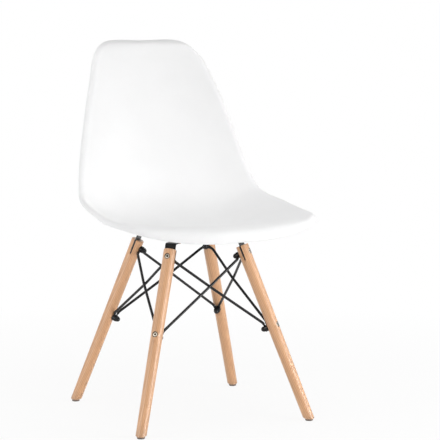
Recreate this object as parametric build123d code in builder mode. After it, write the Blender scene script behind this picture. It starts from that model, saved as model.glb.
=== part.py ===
"""Dining chair: a moulded bucket shell on four splayed wooden legs tied by crossed steel rods.

Sizes are in millimetres. +Z is up and the sitter faces -Y, so the sitter's left is +X. The origin
is on the floor, under the middle of the chair's bounding box.
"""

import math
import os

from build123d import *

os.makedirs("parts", exist_ok=True)

# ---------------------------------------------------------------- driving dimensions

# Base: where the legs stand, how they lean and where they are bolted
foot_half_x = 200.0  # from the middle of the base to a leg's axis, on the floor
foot_half_y = 198.8
base_y = -27.0  # the middle of the base lies this far in front of the origin
side_splay = 16.757  # degrees that a leg leans in, seen from the front
end_splay = 15.626  # degrees, seen from the side
leg_top_height = 380.5
upper_bolt_drop = 16.0  # below the top of a leg
lower_bolt_height = 205.5

# Turned leg
leg_top_radius = 14.0
leg_foot_radius = 11.6
leg_top_round = 1.5
leg_foot_chamfer = 2.6
slot_depth = 34.0
slot_clearance = 0.3  # on each face of the blade

# Glide and its nail
glide_radius = 8.6
glide_height = 4.0
glide_edge = 1.0
nail_radius = 1.5
nail_length = 17.0
nail_head_radius = 3.4
nail_head_height = 1.0
nail_head_lift = 1.4  # plastic left under the head
nail_clearance = 0.1

# Steel cross under the seat, cut and bent from flat bar
bar_width = 24.0
bar_thickness = 3.0
bar_clearance = 5.2  # over the top of a leg
bar_bend_radius = 6.0
blade_tip_gap = 1.5  # between a blade's tip and the bottom of its slot
weld_width = 5.0
weld_crown = 1.2

# Leg bolts with their cap nuts
bolt_radius = 3.0
bolt_hole_clearance = 0.25
bolt_head_radius = 5.2
bolt_head_height = 3.2
bolt_head_round = 1.6
bolt_head_inset = 1.5
bolt_head_clearance = 0.8
socket_across_flats = 4.0
socket_depth = 2.2
spacer_radius = 7.2
spacer_thickness = 1.8
spotface_depth = 0.6
spotface_clearance = 0.3
nut_flange_radius = 7.4
nut_flange_height = 1.6
nut_across_flats = 11.5
nut_hex_height = 4.0
nut_dome_radius = 5.6
nut_clearance = 0.12
bolt_in_nut = 7.0

# Bracing rods
rod_radius = 3.0
eye_radius = 7.2
upper_eye_thickness = 3.0
lower_eye_thickness = 2.2
tongue_root = 4.5  # where the flattened end leaves the eye, from the middle of the eye
neck_half_width = 4.2
tongue_relief = 0.12  # on each face, under the eye's own faces
neck_clearance = 0.5  # between a nut's flange and the swelling of the rod's end
neck_length = 4.5  # over which the flattened end grows to the full round
rod_lead = 4.0  # straight round rod before the bend
rod_bend_radius = 8.0
rod_bow = 3.3  # each rod passes the other of its pair this far from their common middle
rod_bow_radius = 220.0

# Seat screws, washers and the threaded bushes in the shell's bosses
screw_reach = 72.0  # from the middle of the cross
screw_radius = 3.0
screw_length = 16.0
screw_head_radius = 6.0
screw_head_height = 3.4
screw_head_round = 1.5
washer_radius = 7.5
washer_thickness = 1.2
screw_hole_clearance = 0.3
bush_radius = 4.3
bush_length = 12.0
bush_clearance = 0.05
boss_radius = 9.5
boss_draft = 2.0  # degrees

# Moulded shell: the sitter's face is a curved sheet, with its rim rolled away from the sitter
shell_wall = 4.5
shell_half_width = 227.0  # of the sheet, laid flat, without its rim
cup_power = 2.2
rim_radius = 10.5
front_rim_radius = 22.0
front_rim_reach = 16.0  # how far along the sheet the front rim loses half of its extra width
rim_turn = 82.0  # degrees
# middle line of the sheet, from the front edge to the top of the back: (y, height over the cross)
middle_line = [
    (-244, 39), (-219, 44), (-177, 40.5), (-127, 31.5), (-72, 21), (-17, 15), (33, 16.5),
    (75, 26.5), (110, 47), (135, 78), (155, 121), (174, 176), (192, 236), (209, 296),
    (227, 356), (245.5, 420),
]
# right half of the sheet's outline, laid flat: (share of the half width, distance from the front edge)
seat_outline = [
    (0.39, 4), (0.68, 14), (0.905, 36), (0.99, 80), (1.0, 145), (0.98, 215), (0.945, 300), (0.91, 375),
]
# and its upper part: (share of the half width, distance below the top edge)
back_outline = [(0.855, 310), (0.77, 225), (0.655, 125), (0.555, 55), (0.48, 18), (0.34, 3)]
# how far the sheet would stand up at its full half width: (distance from the front edge, rise)
seat_cup = [(0, 4), (65, 17), (120, 29), (180, 48), (300, 69), (400, 72)]
# the same above the lumbar bend: (distance below the top edge, rise)
back_cup = [(260, 79), (160, 102), (75, 117), (0, 98)]

corners = {
    "front_left": (1, -1),
    "front_right": (-1, -1),
    "rear_left": (1, 1),
    "rear_right": (-1, 1),
}

# ---------------------------------------------------------------- places shared by the parts

base_middle = Vector(0, base_y, 0)
lean_x = math.tan(math.radians(side_splay))  # how far a leg's axis comes in for each millimetre up
lean_y = math.tan(math.radians(end_splay))
upper_bolt_height = leg_top_height - upper_bolt_drop


def leg_point(corner, height):
    """Point of a leg's axis at a height above the floor."""
    side, end = corners[corner]
    reach_x = foot_half_x - lean_x * height
    reach_y = foot_half_y - lean_y * height
    return Vector(side * reach_x, base_y + end * reach_y, height)


def leg_axis(corner):
    """Direction up a leg."""
    return (leg_point(corner, leg_top_height) - leg_point(corner, 0)).normalized()


# the square end of a leg stands higher on its outer side than on its axis
leg_peak = leg_top_height + leg_top_radius * math.sin(math.acos(leg_axis("front_left").Z))
bar_bottom = leg_peak + bar_clearance
bar_height = bar_bottom + bar_thickness / 2
bar_top = bar_bottom + bar_thickness


def bar_direction(corner):
    """Horizontal direction from the middle of the base to a leg's upper bolt."""
    flat = leg_point(corner, upper_bolt_height) - base_middle
    return Vector(flat.X, flat.Y, 0).normalized()


def outward(corner):
    """Direction of a leg's bolts: square to the leg and to the level edge of its blade."""
    level = Vector(0, 0, 1).cross(bar_direction(corner))
    return level.cross(leg_axis(corner)).normalized()


def leg_radius(height):
    """Radius of the turned leg at a height above the floor."""
    return leg_foot_radius + (leg_top_radius - leg_foot_radius) * height / leg_top_height


def bolt_station(corner, height):
    """Plane across a bolt on the leg's axis: z points out of the chair, y up the leg."""
    side_way = leg_axis(corner).cross(outward(corner))
    return Plane(leg_point(corner, height), x_dir=side_way, z_dir=outward(corner))


def along_bolt(corner, height, distance):
    """Plane across a bolt, at a distance outwards from the leg's axis."""
    return bolt_station(corner, height).offset(distance)


def inner_seat(height):
    """Distance from the leg's axis to the flat that the spacer sits on."""
    return leg_radius(height) - spotface_depth


def head_seat(height):
    """Distance from the leg's axis to the floor of the head's recess."""
    return leg_radius(height) - bolt_head_inset - bolt_head_height


def rod_start():
    """Distance from the middle of an eye to where its rod is fully round."""
    return nut_flange_radius + neck_clearance + neck_length


def eye_stack(height):
    """Thickness of the rod eyes under one nut."""
    return upper_eye_thickness if height == upper_bolt_height else 2 * lower_eye_thickness


def nut_seat(height):
    """Distance from the leg's axis to the face that the nut bears on."""
    return inner_seat(height) + spacer_thickness + eye_stack(height)


# ---------------------------------------------------------------- seat shell


def law(points):
    """Smooth curve of a value against the distance along the sheet, read at any distance."""
    stations = [station for station, _ in points]
    curve = Edge.make_spline([(station, value) for station, value in points], parameters=stations)
    adaptor = curve.geom_adaptor()
    return lambda station: Vector(adaptor.Value(station)).Y


with BuildLine(Plane.YZ) as sheet_middle:
    middle_curve = Spline(*[(y, bar_top + rise) for y, rise in middle_line])
sheet_length = middle_curve.length

outline_marks = seat_outline + [(share, sheet_length - below) for share, below in back_outline]
right_half = [(shell_half_width * share, station) for share, station in outline_marks]
left_half = [(-x, station) for x, station in reversed(right_half)]
with BuildLine() as sheet_outline:
    outline_curve = Spline((0, 0), *right_half, (0, sheet_length), *left_half, periodic=True)

probe = 0.5  # half the distance over which the sheet's directions are read
cup = law(seat_cup + [(sheet_length - below, rise) for below, rise in back_cup])


def sheet_point(x, station):
    """Point of the sitter's face: x across, station along the middle line."""
    share = min(max(station / sheet_length, 0), 1)
    tangent = middle_curve % share
    spot = middle_curve @ share + tangent * (station - share * sheet_length)
    to_sitter = Vector(0, -tangent.Z, tangent.Y)
    rise = cup(share * sheet_length) * (abs(x) / shell_half_width) ** cup_power
    return spot + Vector(x, 0, 0) + to_sitter * rise


def sheet_directions(x, station):
    """Directions across and along the sheet, and the normal towards the sitter."""
    across = sheet_point(x + probe, station) - sheet_point(x - probe, station)
    along = sheet_point(x, station + probe) - sheet_point(x, station - probe)
    return across, along, across.cross(along).normalized()


def rim_station(share):
    """Point of the outline with its outward and normal directions and the rim's radius there."""
    flat = outline_curve @ share
    heading = outline_curve % share
    across, along, normal = sheet_directions(flat.X, flat.Y)
    edge_way = (across * heading.X + along * heading.Y).normalized()
    fade = 1 / (1 + (flat.Y / front_rim_reach) ** 2)
    radius = rim_radius + (front_rim_radius - rim_radius) * fade
    return flat, sheet_point(flat.X, flat.Y), edge_way.cross(normal), normal, radius


ring_points = 44
centre_share = 0.47
sheet_centre = centre_share * sheet_length
sheet_shares = [0.05, 0.15, 0.28, 0.42, 0.56, 0.70, 0.83, 0.94, 1.0]
rim_steps = 8
lip_steps = 6
station_rounds = 12  # rounds that settle the station straight above a point
rim_stations = [rim_station(i / ring_points) for i in range(ring_points)]


def sheet_ring(share, depth):
    """Copy of the outline shrunk about the middle of the sheet, at a depth under the face."""
    points = []
    for flat, *_ in rim_stations:
        x, station = share * flat.X, sheet_centre + share * (flat.Y - sheet_centre)
        normal = sheet_directions(x, station)[2]
        points.append(sheet_point(x, station) - normal * depth)
    return points


def rim_ring(turn, depth):
    """Ring on the rolled rim, turned away from the sitter by an angle in degrees."""
    angle = math.radians(turn)
    points = []
    for _, edge, out, normal, radius in rim_stations:
        roll = out * math.sin(angle) + normal * math.cos(angle)
        points.append(edge - normal * radius + roll * (radius - depth))
    return points


def lip_ring(turn):
    """Ring on the half-round edge that ends the rim, from the sitter's side at 0 degrees."""
    end, angle, half_wall = math.radians(rim_turn), math.radians(turn), shell_wall / 2
    points = []
    for _, edge, out, normal, radius in rim_stations:
        roll = out * math.sin(end) + normal * math.cos(end)
        ahead = out * math.cos(end) - normal * math.sin(end)
        middle = edge - normal * radius + roll * (radius - half_wall)
        points.append(middle + roll * (half_wall * math.cos(angle)) + ahead * (half_wall * math.sin(angle)))
    return points


def closed_wires(rings):
    """Closed smooth curve through each ring of points; all share their knots."""
    shares = [i / ring_points for i in range(ring_points + 1)]
    return [Wire([Edge.make_spline(ring, periodic=True, parameters=shares)]) for ring in rings]


rim_turns = [rim_turn * step / rim_steps for step in range(1, rim_steps + 1)]
lip_turns = [180 * step / lip_steps for step in range(1, lip_steps)]
face_wires = closed_wires([sheet_ring(share, 0) for share in sheet_shares])
back_wires = closed_wires([sheet_ring(share, shell_wall) for share in reversed(sheet_shares)])
outer_wires = closed_wires([rim_ring(turn, 0) for turn in rim_turns])
lip_wires = closed_wires([lip_ring(turn) for turn in lip_turns])
inner_wires = closed_wires([rim_ring(turn, shell_wall) for turn in reversed(rim_turns)])
rim_wires = [face_wires[-1], *outer_wires, *lip_wires, *inner_wires, back_wires[0]]
face_middle = sheet_point(0, sheet_centre)
back_middle = face_middle - sheet_directions(0, sheet_centre)[2] * shell_wall


def boss_places():
    """Middle of each boss's lower face, on the arms of the steel cross."""
    return [base_middle + bar_direction(corner) * screw_reach + Vector(0, 0, bar_top) for corner in corners]


def wall_under(place):
    """Plane along the middle of the shell's wall, straight above a point of the cross."""
    station = sheet_length * (place.Y - middle_line[0][0]) / (middle_line[-1][0] - middle_line[0][0])
    for _ in range(station_rounds):
        station += place.Y - sheet_point(place.X, station).Y
    across, _, normal = sheet_directions(place.X, station)
    face_height = sheet_point(place.X, station).Z
    middle = Vector(place.X, place.Y, face_height - shell_wall / 2 / normal.Z)
    return Plane(middle, x_dir=across, z_dir=normal)


with BuildPart() as seat_shell:
    face_sheet = Shell.make_loft([Vertex(*face_middle), *face_wires])
    rim_sheet = Shell.make_loft(rim_wires, ruled=True)
    back_sheet = Shell.make_loft([*back_wires, Vertex(*back_middle)])
    add(Solid(Shell([*face_sheet.faces(), *rim_sheet.faces(), *back_sheet.faces()])))
    for place in boss_places():
        root_plane = wall_under(place)
        root_radius = boss_radius + (root_plane.origin.Z - bar_top) * math.tan(math.radians(boss_draft))
        with BuildSketch(Plane(place)):
            Circle(boss_radius)
        with BuildSketch(root_plane):
            Circle(root_radius)
        loft(ruled=True, clean=False)
    for place in boss_places():
        with BuildSketch(Plane(place)):
            Circle(bush_radius + bush_clearance)
        extrude(amount=bush_length, mode=Mode.SUBTRACT, clean=False)
seat_shell.part.label = "seat_shell"
export_step(seat_shell.part, "parts/seat_shell.step")

# ---------------------------------------------------------------- seat fixings

with BuildPart() as boss_bushes:
    for place in boss_places():
        with BuildSketch(Plane(place)):
            Circle(bush_radius)
            Circle(screw_radius + nut_clearance, mode=Mode.SUBTRACT)
        extrude(amount=bush_length)
boss_bushes.part.label = "boss_bushes"
export_step(boss_bushes.part, "parts/boss_bushes.step")

with BuildPart() as seat_washers:
    for place in boss_places():
        with BuildSketch(Plane(place - Vector(0, 0, bar_thickness))):
            Circle(washer_radius)
            Circle(screw_radius + screw_hole_clearance, mode=Mode.SUBTRACT)
        extrude(amount=-washer_thickness)
seat_washers.part.label = "seat_washers"
export_step(seat_washers.part, "parts/seat_washers.step")

with BuildPart() as seat_screws:
    for place in boss_places():
        head_top = place - Vector(0, 0, bar_thickness + washer_thickness)
        with BuildSketch(Plane(head_top)):
            Circle(screw_head_radius)
        extrude(amount=-screw_head_height)
        fillet(edges(Select.LAST).filter_by(GeomType.CIRCLE).sort_by(Axis.Z)[0], screw_head_round)
        with BuildSketch(Plane(head_top)):
            Circle(screw_radius)
        extrude(amount=screw_length)
        with BuildSketch(Plane(head_top - Vector(0, 0, screw_head_height))):
            RegularPolygon(socket_across_flats / 2, 6, major_radius=False)
        extrude(amount=socket_depth, mode=Mode.SUBTRACT)
seat_screws.part.label = "seat_screws"
export_step(seat_screws.part, "parts/seat_screws.step")

# ---------------------------------------------------------------- steel cross


def bend_point(corner):
    """Where the middle line of a bar meets the middle line of its blade."""
    bolt = leg_point(corner, upper_bolt_height) - base_middle
    reach = math.hypot(bolt.X, bolt.Y)
    lean = leg_axis(corner).dot(bar_direction(corner)) / leg_axis(corner).Z
    return reach + (bar_height - upper_bolt_height) * lean, lean


def blade_corner(corner):
    """Middle line of the bar at its bend over a leg."""
    reach, _ = bend_point(corner)
    return base_middle + bar_direction(corner) * reach + Vector(0, 0, bar_height)


def blade_tip(corner):
    """Middle line of the bar at the lower end of its blade."""
    reach, lean = bend_point(corner)
    leg_axis_rise = leg_axis(corner).Z
    tip_height = leg_top_height - (slot_depth - blade_tip_gap) * leg_axis_rise
    tip_reach = reach - (bar_height - tip_height) * lean
    return base_middle + bar_direction(corner) * tip_reach + Vector(0, 0, tip_height)


def bar_sweep(points):
    """Sweep the flat bar along a level and bent middle line."""
    with BuildLine() as bar_line:
        FilletPolyline(*points, radius=bar_bend_radius)
    start, ahead = bar_line.line @ 0, bar_line.line % 0
    level = Vector(0, 0, 1).cross(Vector(ahead.X, ahead.Y, 0)).normalized()
    with BuildSketch(Plane(start, x_dir=level, z_dir=ahead)) as section:
        Rectangle(bar_width, bar_thickness)
    sweep(section.sketch, path=bar_line.line)


def bar_holes(corner):
    """Cut the bolt hole of a blade and the screw hole of an arm."""
    with BuildSketch(along_bolt(corner, upper_bolt_height, -bar_thickness)) as bolt_hole:
        Circle(bolt_radius + bolt_hole_clearance)
    extrude(bolt_hole.sketch, amount=2 * bar_thickness, mode=Mode.SUBTRACT)
    place = base_middle + bar_direction(corner) * screw_reach + Vector(0, 0, bar_bottom)
    with BuildSketch(Plane(place)) as screw_hole:
        Circle(screw_radius + screw_hole_clearance)
    extrude(screw_hole.sketch, amount=bar_thickness, mode=Mode.SUBTRACT)


with BuildPart() as cross_bar:
    bar_sweep([
        blade_tip("front_left"),
        blade_corner("front_left"),
        blade_corner("rear_right"),
        blade_tip("rear_right"),
    ])
    bar_holes("front_left")
    bar_holes("rear_right")
cross_bar.part.label = "cross_bar"
export_step(cross_bar.part, "parts/cross_bar.step")

bar_middle = base_middle + Vector(0, 0, bar_height)
bar_side_way = Vector(0, 0, 1).cross(bar_direction("front_left"))
for name, corner in (("cross_arm_front", "front_right"), ("cross_arm_rear", "rear_left")):
    towards = 1 if bar_side_way.dot(bar_direction(corner)) > 0 else -1
    long_bar_side = Plane(bar_middle + bar_side_way * (towards * bar_width / 2), z_dir=bar_side_way * towards)
    with BuildPart() as half_bar:
        bar_sweep([blade_tip(corner), blade_corner(corner), bar_middle])
        split(bisect_by=long_bar_side)
        bar_holes(corner)
    half_bar.part.label = name
    export_step(half_bar.part, f"parts/{name}.step")

with BuildPart() as cross_welds:
    for towards in (1, -1):
        seam = bar_middle + bar_side_way * (towards * bar_width / 2) + Vector(0, 0, bar_thickness / 2)
        seam_way = bar_direction("front_left")
        with BuildSketch(Plane(seam - seam_way * (bar_width / 2), x_dir=bar_side_way, z_dir=seam_way)):
            with BuildLine():
                ThreePointArc((-weld_width / 2, 0), (0, weld_crown), (weld_width / 2, 0))
                Line((weld_width / 2, 0), (-weld_width / 2, 0))
            make_face()
        extrude(amount=bar_width)
cross_welds.part.label = "cross_welds"
export_step(cross_welds.part, "parts/cross_welds.step")

# ---------------------------------------------------------------- legs, glides and nails

for corner in corners:
    axis_way = leg_axis(corner)
    floor_point = leg_point(corner, 0)
    leg_length = (leg_point(corner, leg_top_height) - floor_point).length
    top_point = floor_point + axis_way * leg_length
    side_way = axis_way.cross(outward(corner))
    below_floor = 2 * leg_foot_radius
    foot_slope = (leg_top_radius - leg_foot_radius) / leg_length
    with BuildPart() as leg:
        with BuildSketch(Plane(floor_point, x_dir=outward(corner), z_dir=outward(corner).cross(axis_way))):
            with BuildLine():
                Polyline(
                    (0, -below_floor),
                    (leg_foot_radius - foot_slope * below_floor, -below_floor),
                    (leg_top_radius, leg_length),
                    (0, leg_length),
                    close=True,
                )
            make_face()
        revolve(axis=Axis(floor_point, axis_way))
        fillet(edges().filter_by(GeomType.CIRCLE).sort_by(Axis.Z)[-1], leg_top_round)
        split(bisect_by=Plane.XY.offset(glide_height), keep=Keep.TOP)
        chamfer(faces().sort_by(Axis.Z)[0].edges(), leg_foot_chamfer)
        with BuildSketch(Plane(top_point, x_dir=side_way, z_dir=axis_way)):
            Rectangle(3 * leg_top_radius, bar_thickness + 2 * slot_clearance)
        extrude(amount=-slot_depth, mode=Mode.SUBTRACT)
        for height in (upper_bolt_height, lower_bolt_height):
            with BuildSketch(along_bolt(corner, height, -2 * leg_top_radius)):
                Circle(bolt_radius + bolt_hole_clearance)
            extrude(amount=4 * leg_top_radius, mode=Mode.SUBTRACT)
            with BuildSketch(along_bolt(corner, height, head_seat(height))):
                Circle(bolt_head_radius + bolt_head_clearance)
            extrude(amount=leg_top_radius, mode=Mode.SUBTRACT)
            with BuildSketch(along_bolt(corner, height, -inner_seat(height))):
                Circle(spacer_radius + spotface_clearance)
            extrude(amount=-leg_top_radius, mode=Mode.SUBTRACT)
        with BuildSketch(Plane(leg_point(corner, glide_height))):
            Circle(nail_radius + nail_clearance)
        extrude(amount=nail_length, mode=Mode.SUBTRACT)
    leg.part.label = f"leg_{corner}"
    export_step(leg.part, f"parts/leg_{corner}.step")

    foot_centre = leg_point(corner, glide_height)
    glide_plane = Plane(Vector(foot_centre.X, foot_centre.Y, 0))
    with BuildPart() as glide:
        with BuildSketch(glide_plane):
            Circle(glide_radius)
        extrude(amount=glide_height)
        chamfer(edges().filter_by(GeomType.CIRCLE).sort_by(Axis.Z)[0], glide_edge)
        with BuildSketch(glide_plane.offset(nail_head_lift)):
            Circle(nail_head_radius + nail_clearance)
        extrude(amount=nail_head_height, mode=Mode.SUBTRACT)
        with BuildSketch(glide_plane.offset(nail_head_lift)):
            Circle(nail_radius + nail_clearance)
        extrude(amount=glide_height, mode=Mode.SUBTRACT)
    glide.part.label = f"glide_{corner}"
    export_step(glide.part, f"parts/glide_{corner}.step")

with BuildPart() as glide_nails:
    for corner in corners:
        foot_centre = leg_point(corner, glide_height)
        head_plane = Plane(Vector(foot_centre.X, foot_centre.Y, nail_head_lift))
        with BuildSketch(head_plane):
            Circle(nail_head_radius)
        extrude(amount=nail_head_height)
        with BuildSketch(head_plane):
            Circle(nail_radius)
        extrude(amount=nail_length)
glide_nails.part.label = "glide_nails"
export_step(glide_nails.part, "parts/glide_nails.step")

# ---------------------------------------------------------------- leg bolts, spacers and cap nuts


def make_bolt(corner, height):
    """Bolt with its recessed head outside the leg and its shank ending in the cap nut."""
    shank_end = nut_seat(height) + bolt_in_nut
    with BuildSketch(along_bolt(corner, height, -shank_end)) as shank:
        Circle(bolt_radius)
    extrude(shank.sketch, amount=shank_end + head_seat(height))
    with BuildSketch(along_bolt(corner, height, head_seat(height))) as head:
        Circle(bolt_head_radius)
    extrude(head.sketch, amount=bolt_head_height)
    outer_rim = edges(Select.LAST).filter_by(GeomType.CIRCLE).sort_by(Axis(base_middle, outward(corner)))[-1]
    fillet(outer_rim, bolt_head_round)
    with BuildSketch(along_bolt(corner, height, head_seat(height) + bolt_head_height)) as socket:
        RegularPolygon(socket_across_flats / 2, 6, major_radius=False)
    extrude(socket.sketch, amount=-socket_depth, mode=Mode.SUBTRACT)


def make_spacer(corner, height):
    """Washer that holds the rod's eye clear of the round leg."""
    with BuildSketch(along_bolt(corner, height, -inner_seat(height))) as ring:
        Circle(spacer_radius)
        Circle(bolt_radius + bolt_hole_clearance, mode=Mode.SUBTRACT)
    extrude(ring.sketch, amount=-spacer_thickness)


def make_cap_nut(corner, height):
    """Domed nut: a round flange, a hexagon and a closed dome over the end of the bolt."""
    face = along_bolt(corner, height, -nut_seat(height))
    with BuildSketch(face) as flange:
        Circle(nut_flange_radius)
    extrude(flange.sketch, amount=-nut_flange_height)
    with BuildSketch(face) as hexagon:
        RegularPolygon(nut_across_flats / 2, 6, major_radius=False)
    extrude(hexagon.sketch, amount=-nut_flange_height - nut_hex_height)
    dome_plane = face.offset(-nut_flange_height - nut_hex_height)
    with BuildSketch(Plane(dome_plane.origin, x_dir=dome_plane.x_dir, z_dir=dome_plane.y_dir)) as dome:
        with BuildLine():
            Line((0, 0), (nut_dome_radius, 0))
            CenterArc((0, 0), nut_dome_radius, 0, 90)
            Line((0, nut_dome_radius), (0, 0))
        make_face()
    revolve(dome.sketch, axis=Axis(dome_plane.origin, dome_plane.z_dir))
    with BuildSketch(face) as bore:
        Circle(bolt_radius + nut_clearance)
    extrude(bore.sketch, amount=-bolt_in_nut - nut_clearance, mode=Mode.SUBTRACT)


for level, height in (("upper", upper_bolt_height), ("lower", lower_bolt_height)):
    for group, make in (("bolts", make_bolt), ("spacers", make_spacer), ("cap_nuts", make_cap_nut)):
        with BuildPart() as fixings:
            for corner in corners:
                make(corner, height)
        fixings.part.label = f"{level}_{group}"
        export_step(fixings.part, f"parts/{level}_{group}.step")

# ---------------------------------------------------------------- bracing rods


def eye_plane(corner, height, neighbour_step):
    """Middle plane of a rod's eye on a bolt; lower bolts carry two eyes, one on the other."""
    first = inner_seat(height) + spacer_thickness
    if height == upper_bolt_height:
        return along_bolt(corner, height, -first - upper_eye_thickness / 2)
    return along_bolt(corner, height, -first - (neighbour_step + 0.5) * lower_eye_thickness)


def in_plane(direction, plane):
    """Part of a direction that lies in a plane, made one long."""
    return (direction - plane.z_dir * direction.dot(plane.z_dir)).normalized()


def make_neck(plane, way, thickness):
    """Flattened end of a rod: a tongue clear of the nut, growing from there to the full round."""
    swelling = rod_start() - neck_length
    with BuildSketch(Plane(plane.origin + way * tongue_root, x_dir=plane.z_dir, z_dir=way)) as root:
        Ellipse(thickness / 2 - tongue_relief, neck_half_width)
    with BuildSketch(Plane(plane.origin + way * swelling, x_dir=plane.z_dir, z_dir=way)) as flat_end:
        Ellipse(thickness / 2 - tongue_relief, neck_half_width)
    with BuildSketch(Plane(plane.origin + way * rod_start(), x_dir=plane.z_dir, z_dir=way)) as round_end:
        Circle(rod_radius)
    loft([root.sketch, flat_end.sketch, round_end.sketch], ruled=True)


def make_eye(plane, thickness):
    """Flat round eye in the middle of its plane."""
    with BuildSketch(plane.offset(-thickness / 2)) as plate:
        Circle(eye_radius)
    extrude(plate.sketch, amount=thickness)


def neighbours(corner):
    """The two legs that a rod runs down to, with the place of its eye in their stacks."""
    side, end = corners[corner]
    return [
        (next(name for name, place in corners.items() if place == (side, -end)), 0),
        (next(name for name, place in corners.items() if place == (-side, end)), 1),
    ]


for corner in corners:
    side, end = corners[corner]
    upper_plane = eye_plane(corner, upper_bolt_height, 0)
    eye_planes = [upper_plane]
    with BuildPart() as rod:
        make_eye(upper_plane, upper_eye_thickness)
        for neighbour, step in neighbours(corner):
            lower_plane = eye_plane(neighbour, lower_bolt_height, step)
            eye_planes.append(lower_plane)
            span = lower_plane.origin - upper_plane.origin
            upper_way = in_plane(span, upper_plane)
            lower_way = in_plane(-span, lower_plane)
            across = Vector(0, 1, 0) if step == 0 else Vector(1, 0, 0)
            mirrored = span - across * (2 * span.dot(across))
            sideways = span.cross(mirrored).normalized()
            middle = (upper_plane.origin + lower_plane.origin) / 2
            if sideways.dot(Vector(middle.X, middle.Y - base_y, 0)) < 0:
                sideways = -sideways
            start = upper_plane.origin + upper_way * rod_start()
            bend = start + upper_way * rod_lead
            last = lower_plane.origin + lower_way * rod_start()
            last_bend = last + lower_way * rod_lead
            share = (base_middle - bend).dot(across) / (last_bend - bend).dot(across)
            crossing = bend + (last_bend - bend) * share - sideways * (side * end * rod_bow)
            with BuildLine() as rod_line:
                FilletPolyline(
                    start, bend, crossing, last_bend, last,
                    radius=[rod_bend_radius, rod_bow_radius, rod_bend_radius],
                )
            with BuildSketch(Plane(start, x_dir=upper_plane.z_dir, z_dir=upper_way)):
                Circle(rod_radius)
            sweep(path=rod_line.line)
            make_neck(upper_plane, upper_way, upper_eye_thickness)
            make_neck(lower_plane, lower_way, lower_eye_thickness)
            make_eye(lower_plane, lower_eye_thickness)
        for plane in eye_planes:
            with BuildSketch(plane.offset(-rod_radius)):
                Circle(bolt_radius + bolt_hole_clearance)
            extrude(amount=2 * rod_radius, mode=Mode.SUBTRACT)
    rod.part.label = f"brace_rod_{corner}"
    export_step(rod.part, f"parts/brace_rod_{corner}.step")
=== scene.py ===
"""Dress the dining chair: finishes for its shell, legs and steel, and the stage it stands on."""

import math

import bmesh
import bpy
from bpy.props import FloatProperty, FloatVectorProperty, PointerProperty
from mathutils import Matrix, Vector


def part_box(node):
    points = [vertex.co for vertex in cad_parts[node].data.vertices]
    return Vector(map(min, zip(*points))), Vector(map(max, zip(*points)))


bl_info = {
    "name": "Dining Chair",
    "version": (1, 0, 0),
    "blender": (4, 5, 0),
    "location": "3D View > Sidebar > Dining Chair",
    "description": "Finishes and stage of a moulded dining chair on wooden legs",
    "category": "Object",
}

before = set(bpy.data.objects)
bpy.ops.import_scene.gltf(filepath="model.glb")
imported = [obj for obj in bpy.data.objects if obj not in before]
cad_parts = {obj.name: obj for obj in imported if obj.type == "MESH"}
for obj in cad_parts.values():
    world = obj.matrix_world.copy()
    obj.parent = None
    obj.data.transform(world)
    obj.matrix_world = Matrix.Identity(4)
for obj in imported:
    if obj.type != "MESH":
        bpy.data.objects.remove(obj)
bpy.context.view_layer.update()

# ---------------------------------------------------------------- fixed sizes and colours

# Side and end of the chair that each leg stands at, and the levels of its two bolts
CORNERS = {
    "front_left": (1, -1),
    "front_right": (-1, -1),
    "rear_left": (1, 1),
    "rear_right": (-1, 1),
}
LEVELS = ("upper", "lower")

# All sizes are in metres. A fade is the width over which a shade or a mark comes in.

# Bolts: the head, the socket in it and the recess that it lies in
HEAD_RADIUS = 0.0052
HEAD_EDGE = 0.0009
HEAD_FADE = 0.0006
SOCKET_RADIUS = 0.0023
SOCKET_FADE = 0.0003
RECESS_RADIUS = 0.006
RECESS_FADE = 0.0006

# The sawn slot at the top of each leg
SLOT_HALF_WIDTH = 0.0018
SLOT_FADE = 0.0007
SLOT_DEPTH = 0.034
SLOT_END_FADE = 0.001

# The ring round a plug in each leg, and how far the plug lies below the lower bolt
PLUG_DROP = 0.015
RING_INSIDE = 0.0012
RING_OUTSIDE = 0.0026
RING_FADE = 0.001

# Heights between which the painted shade on a foot fades out
FOOT_SHADE_FULL = 0.004
FOOT_SHADE_END = 0.035

# From a leg's axis to the heart of its tree, and how much that differs from leg to leg
HEART_REACH = 0.045
HEART_SHIFT = 0.006

# Height of the back's top edge, the depth over which it rolls back, and its slope at the top
CREST = 0.8232
CREST_ROLL = 0.034
CREST_SLOPE = 1.3

# Depth of each finish's fine relief
MOULD_RELIEF = 0.00002
WOOD_RELIEF = 0.00001
PEEL_RELIEF = 0.00005
PLATE_RELIEF = 0.00001
SCUFF_RELIEF = 0.0001

# Fineness of the wood's patterns, in cycles a metre: across the grain both ways, then along it
FIBRES = (1500.0, 1500.0, 45.0)
STREAKS = (120.0, 120.0, 4.5)
WANDER = (20.0, 20.0, 5.0)
FLECKS_ACROSS = 640.0

# How strongly the wood's rings, fibres, streaks and flecks show
RING_TONE = 0.45
FIBRE_TONE = 0.28
STREAK_TONE = 0.34
FLECK_TONE = 0.22

# Colours of the ring round a plug and of painted shade in bolt recesses, slots, sockets and on the
# feet, with dark oxide in the sockets; also how far those on the wood cover it
# Painted shade inside the recess round each bolt head
RECESS_PAINTED_SHADE = (0.07, 0.045, 0.03)
RECESS_COVER = 0.9
# Painted shade inside the sawn slot and along its edges
SLOT_PAINTED_SHADE = (0.03, 0.018, 0.012)
SLOT_COVER = 0.92
RING_BROWN = (0.46, 0.2, 0.08)
RING_COVER = 0.7
# Painted shade on the last centimetres of each leg above the floor
FOOT_PAINTED_SHADE = (0.30, 0.20, 0.13)
FOOT_COVER = 0.35
# Painted shade over dark oxide in the bolt sockets, and painted shade at the edges of the heads
HEAD_SHADE_AND_OXIDE = (0.055, 0.04, 0.028)

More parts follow.
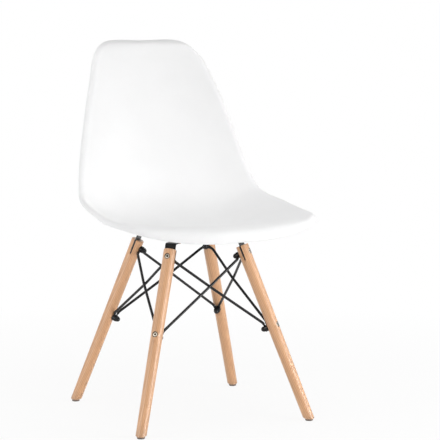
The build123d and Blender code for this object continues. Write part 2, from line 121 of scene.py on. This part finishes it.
# Stage: its colours, the floor's radius, where shadows on it fade out, and how far up the sky is
# brightest
FLOOR_GREY = (0.93, 0.93, 0.93)
WHITE = (1.0, 1.0, 1.0)
FLOOR_RADIUS = 24.0
SHADOW_FULL = 0.5
SHADOW_END = 1.4
SKY_MIDDLE = 0.3

# Each lamp's place, the point that it faces, its width and its cone in degrees
LAMPS = {
    "key": ((1.75, -1.6, 0.85), (0.0, 0.0, 0.5), 1.3, 180.0),
    "side": ((-2.4, -0.4, 0.6), (0.0, 0.0, 0.5), 1.3, 180.0),
    "top": ((0.0, -0.2, 2.6), (0.0, 0.0, 0.45), 1.5, 180.0),
    "leg": ((1.4, -2.0, 0.28), (0.0, 0.0, 0.16), 0.6, 34.0),
}

# ---------------------------------------------------------------- settings for the user


class ShellFinish(bpy.types.PropertyGroup):
    """Satin white moulded shell."""

    colour: FloatVectorProperty(
        name="Colour", description="Colour of the moulded plastic", subtype="COLOR", size=3,
        min=0.0, max=1.0, default=(0.895, 0.895, 0.897),
    )
    roughness: FloatProperty(
        name="Roughness", description="How dull the moulded face is", subtype="FACTOR",
        min=0.0, max=1.0, default=0.42,
    )
    grain: FloatProperty(
        name="Grain", description="Size of the fine texture left by the mould", subtype="DISTANCE",
        unit="LENGTH", min=0.0001, default=0.0008,
    )


class WoodFinish(bpy.types.PropertyGroup):
    """Clear lacquer on turned beech."""

    light: FloatVectorProperty(
        name="Light wood", description="Colour between the growth rings", subtype="COLOR", size=3,
        min=0.0, max=1.0, default=(0.75, 0.424, 0.222),
    )
    dark: FloatVectorProperty(
        name="Dark wood", description="Colour along the growth rings", subtype="COLOR", size=3,
        min=0.0, max=1.0, default=(0.515, 0.26, 0.12),
    )
    ring_spacing: FloatProperty(
        name="Ring spacing", description="Distance between growth rings", subtype="DISTANCE",
        unit="LENGTH", min=0.0005, default=0.0034,
    )
    fleck_length: FloatProperty(
        name="Fleck length", description="Length of the small dark flecks along the grain",
        subtype="DISTANCE", unit="LENGTH", min=0.0005, default=0.0042,
    )
    lacquer: FloatProperty(
        name="Lacquer", description="How much clear lacquer lies over the wood", subtype="FACTOR",
        min=0.0, max=1.0, default=0.9,
    )


class SteelFinish(bpy.types.PropertyGroup):
    """Powder coat on the cross, rods and nuts, and bare plating on the bolts."""

    coat_colour: FloatVectorProperty(
        name="Coat colour", description="Colour of the powder coat", subtype="COLOR", size=3,
        min=0.0, max=1.0, default=(0.005, 0.005, 0.0055),
    )
    coat_roughness: FloatProperty(
        name="Coat roughness", description="How dull the powder coat is", subtype="FACTOR",
        min=0.0, max=1.0, default=0.2,
    )
    plating_colour: FloatVectorProperty(
        name="Plating colour", description="Colour of the plated bolt heads", subtype="COLOR",
        size=3, min=0.0, max=1.0, default=(0.76, 0.69, 0.58),
    )
    plating_roughness: FloatProperty(
        name="Plating roughness", description="How dull the plating is", subtype="FACTOR",
        min=0.0, max=1.0, default=0.3,
    )


class SmallPartFinish(bpy.types.PropertyGroup):
    """Glides under the feet and threaded bushes in the shell."""

    glide_colour: FloatVectorProperty(
        name="Glide colour", description="Colour of the plastic glides", subtype="COLOR", size=3,
        min=0.0, max=1.0, default=(0.17, 0.14, 0.12),
    )
    brass_colour: FloatVectorProperty(
        name="Brass colour", description="Colour of the threaded bushes", subtype="COLOR", size=3,
        min=0.0, max=1.0, default=(0.72, 0.53, 0.24),
    )


class StageSettings(bpy.types.PropertyGroup):
    """Floor, lamps and camera."""

    key_power: FloatProperty(
        name="Key lamp", description="Power of the large lamp in front and to the right",
        subtype="POWER", unit="POWER", min=0.0, default=18.2,
    )
    side_power: FloatProperty(
        name="Side lamp", description="Power of the large lamp on the other side",
        subtype="POWER", unit="POWER", min=0.0, default=18.4,
    )
    top_power: FloatProperty(
        name="Top lamp", description="Power of the large lamp overhead", subtype="POWER",
        unit="POWER", min=0.0, default=16.2,
    )
    leg_power: FloatProperty(
        name="Leg lamp", description="Power of the low lamp that picks out the legs",
        subtype="POWER", unit="POWER", min=0.0, default=0.95,
    )
    sky: FloatProperty(
        name="Sky", description="Strength of the soft light from halfway up the sky", min=0.0,
        default=0.57,
    )
    horizon: FloatProperty(
        name="Horizon", description="Share of the sky's light that comes from low down",
        subtype="FACTOR", min=0.0, max=1.0, default=0.83,
    )
    zenith: FloatProperty(
        name="Zenith", description="Share of the sky's light that comes from straight above",
        subtype="FACTOR", min=0.0, max=1.0, default=0.54,
    )
    floor_white: FloatProperty(
        name="Floor white", description="Share of the floor that shows as plain white",
        subtype="FACTOR", min=0.0, max=1.0, default=0.9,
    )
    camera_azimuth: FloatProperty(
        name="Camera azimuth", description="Direction of the camera round the chair",
        subtype="ANGLE", unit="ROTATION", default=math.radians(-24.695),
    )
    camera_elevation: FloatProperty(
        name="Camera elevation", description="Height of the camera above the horizon",
        subtype="ANGLE", unit="ROTATION", default=math.radians(6.95),
    )
    camera_distance: FloatProperty(
        name="Camera distance", description="From the camera to the middle of the chair",
        subtype="DISTANCE", unit="LENGTH", min=0.1, default=3.971,
    )
    lens: FloatProperty(
        name="Lens", description="Focal length of the camera in millimetres", min=1.0,
        default=146.6,
    )
    target: FloatVectorProperty(
        name="Target", description="Point that the camera looks at", subtype="XYZ", size=3,
        unit="LENGTH", default=(0.0618, -0.0554, 0.4304),
    )


# ---------------------------------------------------------------- materials


def tinted(colour, share):
    """Colour made darker, or lighter where the share is over one."""
    return tuple(min(1.0, part * share) for part in colour)


class Value:
    """A shader socket that adds, subtracts, multiplies and divides as a number does."""

    def __init__(self, finish, socket):
        self.finish = finish
        self.socket = socket

    def maths(self, operation, first, second):
        return self.finish.node("ShaderNodeMath", {"operation": operation}, {0: first, 1: second})

    def __add__(self, other):
        return self.maths("ADD", self, other)

    def __radd__(self, other):
        return self.maths("ADD", other, self)

    def __sub__(self, other):
        return self.maths("SUBTRACT", self, other)

    def __rsub__(self, other):
        return self.maths("SUBTRACT", other, self)

    def __mul__(self, other):
        return self.maths("MULTIPLY", self, other)

    def __rmul__(self, other):
        return self.maths("MULTIPLY", other, self)

    def __truediv__(self, other):
        return self.maths("DIVIDE", self, other)

    def __rtruediv__(self, other):
        return self.maths("DIVIDE", other, self)

    def __pow__(self, other):
        return self.maths("POWER", self, other)


class Nodes:
    """An emptied node tree that takes its nodes from one method."""

    def __init__(self, owner):
        owner.use_nodes = True
        self.tree = owner.node_tree
        self.tree.nodes.clear()

    def put(self, socket, value):
        """Link a value to a socket, or set a plain number or colour on it."""
        if isinstance(value, Value):
            self.tree.links.new(value.socket, socket)
        elif hasattr(value, "__len__") and len(value) == 3 and socket.type == "RGBA":
            socket.default_value = (*value, 1.0)
        else:
            socket.default_value = value

    def node(self, kind, settings=None, inputs=None, output=0):
        """Add a node: its settings first, then its sockets; gives one of its outputs."""
        made = self.tree.nodes.new(kind)
        for name, value in (settings or {}).items():
            if name == "stops":
                self.set_stops(made.color_ramp, value)
            else:
                setattr(made, name, value)
        for name, value in (inputs or {}).items():
            self.put(made.inputs[name], value)
        return Value(self, made.outputs[output])

    def set_stops(self, ramp, stops):
        """Give a ramp its stops, each a place and a grey."""
        while len(ramp.elements) < len(stops):
            ramp.elements.new(1.0)
        for element, (place, grey) in zip(ramp.elements, stops):
            element.position = place
            element.color = (grey, grey, grey, 1.0)

    def place(self):
        """Object coordinates of the piece."""
        return self.node("ShaderNodeTexCoord", output="Object")

    def part(self, vector, axis):
        """One number of a vector: 0 for X, 1 for Y, 2 for Z."""
        return self.node("ShaderNodeSeparateXYZ", None, {0: vector}, output=axis)

    def vector_maths(self, operation, *vectors):
        """Vector worked out from one or two others."""
        return self.node(
            "ShaderNodeVectorMath", {"operation": operation}, dict(enumerate(vectors)),
        )

    def length(self, vector):
        """Length of a vector."""
        return self.node(
            "ShaderNodeVectorMath", {"operation": "LENGTH"}, {0: vector}, output="Value",
        )

    def along(self, vector, way):
        """How far a vector reaches in a direction."""
        return self.node(
            "ShaderNodeVectorMath", {"operation": "DOT_PRODUCT"}, {0: vector, 1: way},
            output="Value",
        )

    def from_line(self, place, line):
        """Distance from a line, given by a point on it and its direction."""
        point, way = line
        away = self.vector_maths("SUBTRACT", place, point)
        reach = self.length(away)
        ahead = self.along(away, way)
        return (reach * reach - ahead * ahead) ** 0.5

    def noise(self, place, scale=1.0, detail=2.0, roughness=0.5):
        """Soft noise between nought and one."""
        return self.node(
            "ShaderNodeTexNoise", {"noise_dimensions": "3D"},
            {"Vector": place, "Scale": scale, "Detail": detail, "Roughness": roughness},
        )

    def spread(self, value, low, high, to_low=0.0, to_high=1.0):
        """Value stretched from one range to another and clamped."""
        return self.node(
            "ShaderNodeMapRange", {"clamp": True},
            {"Value": value, "From Min": low, "From Max": high, "To Min": to_low,
             "To Max": to_high},
        )

    def mix(self, share, first, second):
        """Colour between two colours."""
        return self.node(
            "ShaderNodeMix", {"data_type": "RGBA"}, {0: share, 6: first, 7: second}, output=2,
        )

    def ray(self, *kinds):
        """One where the ray is of a given kind, such as Camera or Glossy, and nought elsewhere."""
        found = [self.node("ShaderNodeLightPath", output=f"Is {kind} Ray") for kind in kinds]
        return sum(found[1:], found[0])


class Finish(Nodes):
    """One material, built on a principled shader whose plain settings are given by name."""

    def __init__(self, name, **settings):
        self.material = bpy.data.materials.new(name)
        super().__init__(self.material)
        self.output = self.tree.nodes.new("ShaderNodeOutputMaterial")
        self.shader = self.tree.nodes.new("ShaderNodeBsdfPrincipled")
        self.tree.links.new(self.shader.outputs["BSDF"], self.output.inputs["Surface"])
        self.coat(**settings)

    def coat(self, **settings):
        """Set or link sockets of the shader: base_color feeds Base Color."""
        for name, value in settings.items():
            label = name.replace("_", " ").title().replace("Ior", "IOR")
            self.put(self.shader.inputs[label], value)

    def bump(self, height, depth, strength=1.0):
        """Fine relief that leans the normals, its depth in metres."""
        relief = self.node(
            "ShaderNodeBump", None, {"Height": height, "Distance": depth, "Strength": strength},
        )
        self.coat(normal=relief)


def shell_finish(settings):
    """Satin white plastic with a fine moulded texture and the faintest clouding."""
    finish = Finish("shell_plastic", ior=1.49, specular_ior_level=0.28)
    place = finish.place()
    cloud = finish.noise(place, scale=7.0, detail=3.0)
    shade = tinted(settings.colour, 0.975)
    finish.coat(base_color=finish.mix(finish.spread(cloud, 0.35, 0.65), shade, settings.colour))
    fine = finish.noise(place, scale=1.0 / settings.grain, detail=1.0)
    rub = finish.noise(place, scale=24.0, detail=4.0, roughness=0.6)
    finish.coat(roughness=settings.roughness + (rub - 0.5) * 0.12)
    over = finish.spread(finish.part(place, 2), CREST - CREST_ROLL, CREST)
    roll = over ** 3.0 * (CREST_SLOPE * CREST_ROLL / 3.0)
    finish.bump(fine * MOULD_RELIEF - roll, 1.0)
    return finish.material


class Beech(Finish):
    """Lacquered beech whose grain runs along one leg."""

    def __init__(self, name, settings, foot, lean, bolts, slot, seed):
        super().__init__(
            name, ior=1.5, specular_ior_level=0.15, coat_weight=settings.lacquer,
            coat_roughness=0.4, coat_ior=1.7,
        )
        turn = Vector((0, 0, 1)).rotation_difference(lean).to_euler()
        leg = self.node(
            "ShaderNodeMapping", {"vector_type": "TEXTURE"},
            {"Vector": self.place(), "Location": foot, "Rotation": turn},
        )
        shifted = self.vector_maths("ADD", leg, (0.0, 0.0, seed))
        rings = self.growth_rings(shifted, settings.ring_spacing, seed)
        fibres = self.noise(self.vector_maths("MULTIPLY", shifted, FIBRES), detail=3.0)
        flecks = self.flecks(shifted, settings.fleck_length)
        streaks = self.noise(self.vector_maths("MULTIPLY", shifted, STREAKS), detail=3.0)
        strands = self.spread(fibres, 0.3, 0.7)
        tone = rings * RING_TONE + strands * FIBRE_TONE
        tone = tone + self.spread(streaks, 0.3, 0.7) * STREAK_TONE
        wood = self.mix(self.spread(tone, 0.1, 0.95), settings.light, settings.dark)
        wood = self.mix(flecks * FLECK_TONE, wood, tinted(settings.dark, 0.62))
        for line in bolts:
            wood = self.bolt_recess(wood, line)
        point, way = bolts[-1]
        wood = self.plug_ring(wood, (point - lean * PLUG_DROP, way))
        wood = self.sawn_slot(wood, leg, *slot)
        self.coat(base_color=self.darkened_foot(wood, leg))
        self.coat(roughness=0.4 + strands * 0.12)
        self.bump(fibres * 0.7 - flecks * 0.6, WOOD_RELIEF, 0.3)

    def growth_rings(self, leg, spacing, seed):
        """Long wavering lines where the leg cuts the tree's rings."""
        wander = self.noise(self.vector_maths("MULTIPLY", leg, WANDER))
        heart = self.part(leg, 0) + (HEART_REACH + math.sin(seed * 9.0) * HEART_SHIFT)
        across = self.part(leg, 1)
        distance = (heart * heart + across * across) ** 0.5
        phase = distance / spacing * (2 * math.pi) + wander * 9.0
        wave = self.node("ShaderNodeMath", {"operation": "SINE"}, {0: phase})
        return (wave * 0.5 + 0.5) ** 1.8

    def flecks(self, leg, length):
        """Small dark dashes scattered along the grain."""
        dashes = self.vector_maths("MULTIPLY", leg, (FLECKS_ACROSS, FLECKS_ACROSS, 0.55 / length))
        cells = self.node(
            "ShaderNodeTexVoronoi", {"feature": "F1", "distance": "EUCLIDEAN"},
            {"Vector": dashes, "Scale": 1.0, "Randomness": 1.0}, output="Distance",
        )
        return self.spread(cells, 0.16, 0.3, 1.0, 0.0)

    def bolt_recess(self, wood, line):
        """Painted shade darkens the wood inside the recess round a bolt's head."""
        reach = self.from_line(self.place(), line)
        inside = self.spread(reach, RECESS_RADIUS, RECESS_RADIUS + RECESS_FADE, 1.0, 0.0)
        return self.mix(inside * RECESS_COVER, wood, RECESS_PAINTED_SHADE)

    def plug_ring(self, wood, line):
        """A faint ring shows where a plug of the same wood fills a small hole."""
        reach = self.from_line(self.place(), line)
        outwards = self.spread(reach, RING_INSIDE, RING_INSIDE + RING_FADE)
        beyond = self.spread(reach, RING_OUTSIDE, RING_OUTSIDE + RING_FADE)
        return self.mix((outwards - beyond) * RING_COVER, wood, RING_BROWN)

    def sawn_slot(self, wood, leg, way, middle, bottom):
        """Painted shade fills the sawn slot for the blade and darkens the wood along its edges."""
        shift = self.along(self.place(), way) - middle
        aside = self.node("ShaderNodeMath", {"operation": "ABSOLUTE"}, {0: shift})
        inside = self.spread(aside, SLOT_HALF_WIDTH, SLOT_HALF_WIDTH + SLOT_FADE, 1.0, 0.0)
        above = self.spread(self.part(leg, 2), bottom, bottom + SLOT_END_FADE)
        return self.mix(inside * above * SLOT_COVER, wood, SLOT_PAINTED_SHADE)

    def darkened_foot(self, wood, leg):
        """Painted shade darkens the last centimetres above the floor."""
        scuff_and_shade = self.spread(self.part(leg, 2), FOOT_SHADE_FULL, FOOT_SHADE_END, 1.0, 0.0)
        return self.mix(scuff_and_shade * FOOT_COVER, wood, FOOT_PAINTED_SHADE)


def powder_coat(settings):
    """Satin black powder coat with its slight orange peel."""
    finish = Finish("black_coat", ior=1.5, specular_ior_level=0.3)
    place = finish.place()
    peel = finish.noise(place, scale=900.0, detail=1.0)
    wear = finish.noise(place, scale=60.0, detail=4.0, roughness=0.65)
    lighter = tinted(settings.coat_colour, 1.9)
    worn = finish.spread(wear, 0.45, 0.7)
    finish.coat(base_color=finish.mix(worn, settings.coat_colour, lighter))
    finish.coat(roughness=settings.coat_roughness + (wear - 0.5) * 0.12)
    finish.bump(peel, PEEL_RELIEF, 0.25)
    return finish.material


def plating(settings, name="zinc_plate", dull=0.0, level=None):
    """Plated steel, a little uneven; at a level of bolts, painted shade over dark oxide fills
    their sockets and painted shade darkens the edges of their heads.
    """
    finish = Finish(name, metallic=1.0)
    place = finish.place()
    tarnish = finish.noise(place, scale=160.0, detail=4.0, roughness=0.6)
    duller = tinted(settings.plating_colour, 0.72)
    steel = finish.mix(finish.spread(tarnish, 0.35, 0.75), settings.plating_colour, duller)
    if level:
        centre = Vector((0.0, middle_y(f"{level}_bolts"), 0.0))
        point, way = bolt_line(level, 1, 1)
        # the four bolts mirror each other, so the other three fold onto this one
        folded = finish.vector_maths("ABSOLUTE", finish.vector_maths("SUBTRACT", place, centre))
        reach = finish.from_line(folded, (point - centre, way))
        # Painted shade over dark oxide in the socket, and painted shade round the edge of the head
        socket = finish.spread(reach, SOCKET_RADIUS, SOCKET_RADIUS + SOCKET_FADE, 1.0, 0.0)
        start = HEAD_RADIUS - HEAD_EDGE
        edge = finish.spread(reach, start, start + HEAD_FADE)
        steel = finish.mix(socket + edge, steel, HEAD_SHADE_AND_OXIDE)
    finish.coat(base_color=steel)
    finish.coat(roughness=settings.plating_roughness + dull + (tarnish - 0.5) * 0.25)
    finish.bump(finish.noise(place, scale=2600.0, detail=1.0), PLATE_RELIEF, 0.5)
    return finish.material


def brass(settings):
    """Turned brass, dulled by handling."""
    finish = Finish("turned_brass", metallic=1.0)
    place = finish.place()
    dull = finish.noise(place, scale=220.0, detail=3.0)
    darker = tinted(settings.brass_colour, 0.55)
    handled = finish.spread(dull, 0.4, 0.7)
    finish.coat(base_color=finish.mix(handled, settings.brass_colour, darker))
    finish.coat(roughness=0.28 + dull * 0.2)
    return finish.material


def glide_plastic(settings):
    """Dull plastic, scuffed where it slides on the floor."""
    finish = Finish("glide_plastic", ior=1.5)
    place = finish.place()
    scuff_and_shade = finish.noise(place, scale=300.0, detail=4.0, roughness=0.7)
    lighter = tinted(settings.glide_colour, 1.7)
    scraped = finish.spread(scuff_and_shade, 0.5, 0.75)
    finish.coat(base_color=finish.mix(scraped, settings.glide_colour, lighter))
    finish.coat(roughness=0.5 + scuff_and_shade * 0.25)
    finish.bump(scuff_and_shade, SCUFF_RELIEF, 0.5)
    return finish.material


def middle_y(name):
    """Middle of a node's box from front to rear."""
    low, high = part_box(name)
    return (low.y + high.y) / 2


def middle_of(name, side, end):
    """Middle of the corners of that piece of a node which lies at one leg."""
    centre = middle_y(name)
    corners = {
        tuple(round(part, 6) for part in corner.co)
        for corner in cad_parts[name].data.vertices
        if corner.co.x * side > 0 and (corner.co.y - centre) * end > 0
    }
    return sum((Vector(corner) for corner in corners), Vector()) / len(corners)


def bolt_line(level, side, end):
    """Axis of one leg bolt, from its nut out to its head."""
    bolt = middle_of(f"{level}_bolts", side, end)
    nut = middle_of(f"{level}_cap_nuts", side, end)
    return bolt, (bolt - nut).normalized()


def dress(material, *names):
    """Give CAD nodes their finish."""
    for name in names:
        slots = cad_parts[name].data.materials
        slots.clear()
        slots.append(material)


# ---------------------------------------------------------------- pieces


class CHAIR_OT_seat_shell(bpy.types.Operator):
    """Finish the moulded shell"""

    bl_idname = "chair.seat_shell"
    bl_label = "Seat Shell"

    def execute(self, context):
        dress(shell_finish(context.scene.chair_shell), "seat_shell")
        return {"FINISHED"}


class CHAIR_OT_legs(bpy.types.Operator):
    """Finish the four turned legs, each with the grain along it"""

    bl_idname = "chair.legs"
    bl_label = "Legs"

    def execute(self, context):
        settings = context.scene.chair_wood
        for number, (corner, (side, end)) in enumerate(CORNERS.items()):
            low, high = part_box(f"leg_{corner}")
            size = high - low
            lean = Vector((-side * size.x, -end * size.y, size.z)).normalized()
            foot = Vector((high.x if side > 0 else low.x, high.y if end > 0 else low.y, 0.0))
            bolts = [bolt_line(level, side, end) for level in LEVELS]
            way = bolts[0][1]
            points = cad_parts[f"leg_{corner}"].data.vertices
            reach = [point.co.dot(way) for point in points]
            slot = way, (min(reach) + max(reach)) / 2, size.z / lean.z - SLOT_DEPTH
            seed = 0.7 + 1.3 * number  # takes each leg from another part of the tree
            wood = Beech(f"beech_{corner}", settings, foot, lean, bolts, slot, seed)
            dress(wood.material, f"leg_{corner}")
        return {"FINISHED"}


class CHAIR_OT_underframe(bpy.types.Operator):
    """Finish the steel cross, the bracing rods and the cap nuts"""

    bl_idname = "chair.underframe"
    bl_label = "Underframe"

    def execute(self, context):
        coat = powder_coat(context.scene.chair_steel)
        dress(coat, "cross_bar", "cross_arm_front", "cross_arm_rear", "cross_welds")
        dress(coat, *(f"brace_rod_{corner}" for corner in CORNERS))
        for level in LEVELS:
            dress(coat, f"{level}_cap_nuts", f"{level}_spacers")
        return {"FINISHED"}


class CHAIR_OT_fixings(bpy.types.Operator):
    """Finish the bolts, screws, washers, bushes, glides and nails"""

    bl_idname = "chair.fixings"
    bl_label = "Fixings"

    def execute(self, context):
        steel = context.scene.chair_steel
        for level in LEVELS:
            dress(plating(steel, f"{level}_bolt_steel", 0.0, level), f"{level}_bolts")
        dress(plating(steel), "seat_screws", "seat_washers")
        dress(plating(steel, "nail_steel", 0.15), "glide_nails")
        dress(brass(context.scene.chair_small), "boss_bushes")
        glide = glide_plastic(context.scene.chair_small)
        dress(glide, *(f"glide_{corner}" for corner in CORNERS))
        return {"FINISHED"}


# ---------------------------------------------------------------- stage


def floor_finish(white):
    """Pale floor that shows white and keeps the chair's shadow near its feet."""
    finish = Finish(
        "studio_floor", base_color=FLOOR_GREY, roughness=0.9, specular_ior_level=0.1,
    )
    plain = finish.spread(finish.length(finish.place()), SHADOW_FULL, SHADOW_END, white, 1.0)
    seen = finish.ray("Camera", "Glossy", "Transmission")
    share = finish.node(
        "ShaderNodeMath", {"operation": "MULTIPLY", "use_clamp": True}, {0: seen, 1: plain},
    )
    glow = finish.node("ShaderNodeEmission", None, {"Color": WHITE, "Strength": 1.0})
    shown = finish.node(
        "ShaderNodeMixShader", None,
        {0: share, 1: Value(finish, finish.shader.outputs["BSDF"]), 2: glow},
    )
    finish.put(finish.output.inputs["Surface"], shown)
    return finish.material


def light_world(settings):
    """Soft light from all round, weaker low down and above; the camera sees plain white."""
    world = bpy.data.worlds.new("studio_sky")
    sky = Nodes(world)
    way = sky.node("ShaderNodeTexCoord", output="Generated")
    stops = ((0.0, settings.horizon), (SKY_MIDDLE, 1.0), (1.0, settings.zenith))
    share = sky.node("ShaderNodeValToRGB", {"stops": stops}, {0: sky.part(way, 2)})
    strength = share * settings.sky
    lit = sky.node("ShaderNodeBackground", None, {"Color": WHITE, "Strength": strength})
    plain = sky.node("ShaderNodeBackground", None, {"Color": WHITE, "Strength": 1.0})
    seen = sky.ray("Camera", "Glossy", "Transmission")
    shown = sky.node("ShaderNodeMixShader", None, {0: seen, 1: lit, 2: plain})
    output = sky.tree.nodes.new("ShaderNodeOutputWorld")
    sky.put(output.inputs["Surface"], shown)
    bpy.context.scene.world = world


def hang_lamp(name, power, place, target, size, cone):
    """Square lamp that faces a point, its light kept within a cone of some degrees."""
    light = bpy.data.lights.new(name, "AREA")
    light.shape = "SQUARE"
    light.size = size
    light.energy = power
    light.spread = math.radians(cone)
    lamp = bpy.data.objects.new(name, light)
    lamp.location = place
    lamp.rotation_euler = (Vector(target) - Vector(place)).to_track_quat("-Z", "Y").to_euler()
    bpy.context.scene.collection.objects.link(lamp)


def set_camera(settings):
    """Camera aimed at its target from its direction and distance."""
    sensor = bpy.data.cameras.new("camera")
    sensor.lens = settings.lens
    sensor.sensor_width = 36.0
    sensor.clip_start = 0.1
    sensor.clip_end = 60.0
    camera = bpy.data.objects.new("camera", sensor)
    azimuth, elevation = settings.camera_azimuth, settings.camera_elevation
    back = Vector((
        math.sin(azimuth) * math.cos(elevation),
        -math.cos(azimuth) * math.cos(elevation),
        math.sin(elevation),
    ))
    camera.location = Vector(settings.target) + back * settings.camera_distance
    camera.rotation_euler = (-back).to_track_quat("-Z", "Y").to_euler()
    bpy.context.scene.collection.objects.link(camera)
    bpy.context.scene.camera = camera


class CHAIR_OT_stage(bpy.types.Operator):
    """Lay the floor, hang the lamps and set the camera"""

    bl_idname = "chair.stage"
    bl_label = "Stage"

    def execute(self, context):
        settings = context.scene.chair_stage
        mesh = bpy.data.meshes.new("floor")
        floor = bpy.data.objects.new("floor", mesh)
        form = bmesh.new()
        bmesh.ops.create_circle(form, cap_ends=True, segments=96, radius=FLOOR_RADIUS)
        form.to_mesh(mesh)
        form.free()
        mesh.materials.append(floor_finish(settings.floor_white))
        context.scene.collection.objects.link(floor)
        light_world(settings)
        for name, lamp in LAMPS.items():
            hang_lamp(f"{name}_lamp", getattr(settings, f"{name}_power"), *lamp)
        set_camera(settings)
        context.scene.view_settings.view_transform = "Standard"
        return {"FINISHED"}


# ---------------------------------------------------------------- panel


class CHAIR_PT_panel(bpy.types.Panel):
    """Pieces and stage of the dining chair"""

    bl_idname = "CHAIR_PT_panel"
    bl_label = "Dining Chair"
    bl_space_type = "VIEW_3D"
    bl_region_type = "UI"
    bl_category = "Dining Chair"

    def draw(self, context):
        layout = self.layout
        for operator in OPERATORS:
            layout.operator(operator.bl_idname)
        for name in SETTINGS:
            group = getattr(context.scene, name)
            box = layout.box()
            for field in group.__annotations__:
                box.prop(group, field)


SETTINGS = {
    "chair_shell": ShellFinish,
    "chair_wood": WoodFinish,
    "chair_steel": SteelFinish,
    "chair_small": SmallPartFinish,
    "chair_stage": StageSettings,
}

OPERATORS = (
    CHAIR_OT_seat_shell,
    CHAIR_OT_legs,
    CHAIR_OT_underframe,
    CHAIR_OT_fixings,
    CHAIR_OT_stage,
)


def register():
    """Register the settings, operators and panel."""
    for name, group in SETTINGS.items():
        bpy.utils.register_class(group)
        setattr(bpy.types.Scene, name, PointerProperty(type=group))
    for operator in OPERATORS:
        bpy.utils.register_class(operator)
    bpy.utils.register_class(CHAIR_PT_panel)


def unregister():
    """Take the panel, operators and settings away again."""
    bpy.utils.unregister_class(CHAIR_PT_panel)
    for operator in reversed(OPERATORS):
        bpy.utils.unregister_class(operator)
    for name, group in reversed(SETTINGS.items()):
        delattr(bpy.types.Scene, name)
        bpy.utils.unregister_class(group)


def main():
    """Build the chair's looks in order."""
    register()
    bpy.ops.chair.seat_shell()
    bpy.ops.chair.legs()
    bpy.ops.chair.underframe()
    bpy.ops.chair.fixings()
    bpy.ops.chair.stage()


if __name__ == "__main__":
    main()
